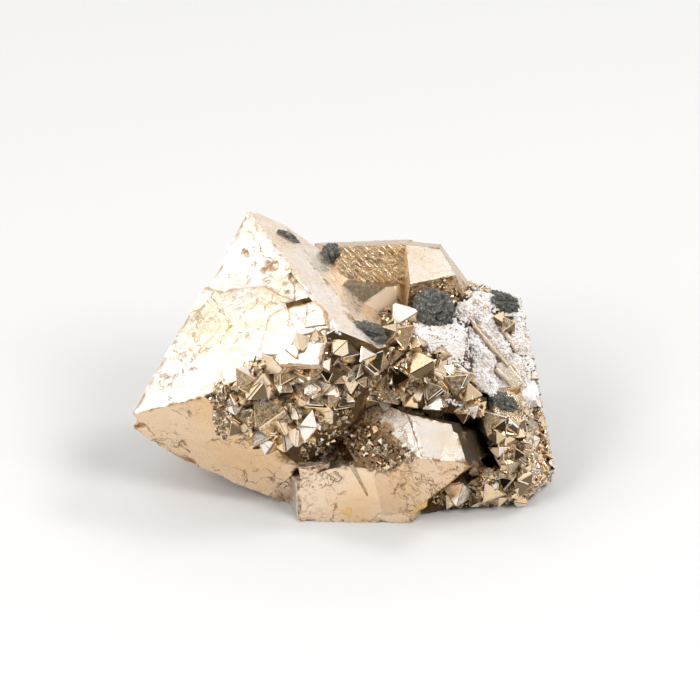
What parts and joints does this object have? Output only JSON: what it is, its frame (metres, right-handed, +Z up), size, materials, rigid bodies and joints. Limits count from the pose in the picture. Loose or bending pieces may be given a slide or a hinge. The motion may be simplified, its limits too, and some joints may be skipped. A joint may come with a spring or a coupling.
{
  "type": "pyrite specimen",
  "caption": "Hand-sized pyrite cluster: one large octahedron with smaller crystals grown round it, dark sphalerite lumps and a white quartz crust.",
  "frame": {"origin": "on the flat broken base, under the middle of the whole specimen's box", "axes": "+Z up from the base, -Y towards the display side with the left druse and the front crystals, +X to the right as seen from there"},
  "size_m": [0.0844, 0.0671, 0.0489],
  "materials": {
    "pyrite": "bright metallic lustre, pale brassy gold, with brown staining in the cracks",
    "quartz": "white, fine-grained, dull to glistening",
    "sphalerite": "dark grey-green, rough, resinous to dull"
  },
  "bodies": {
    "root": {"pyrite_cluster": "pyrite", "quartz_crust": "quartz", "sphalerite_large": "sphalerite", "sphalerite_middle": "sphalerite", "sphalerite_low": "sphalerite", "sphalerite_edge": "sphalerite", "sphalerite_flat": "sphalerite", "sphalerite_back": "sphalerite"}
  },
  "joints": []
}
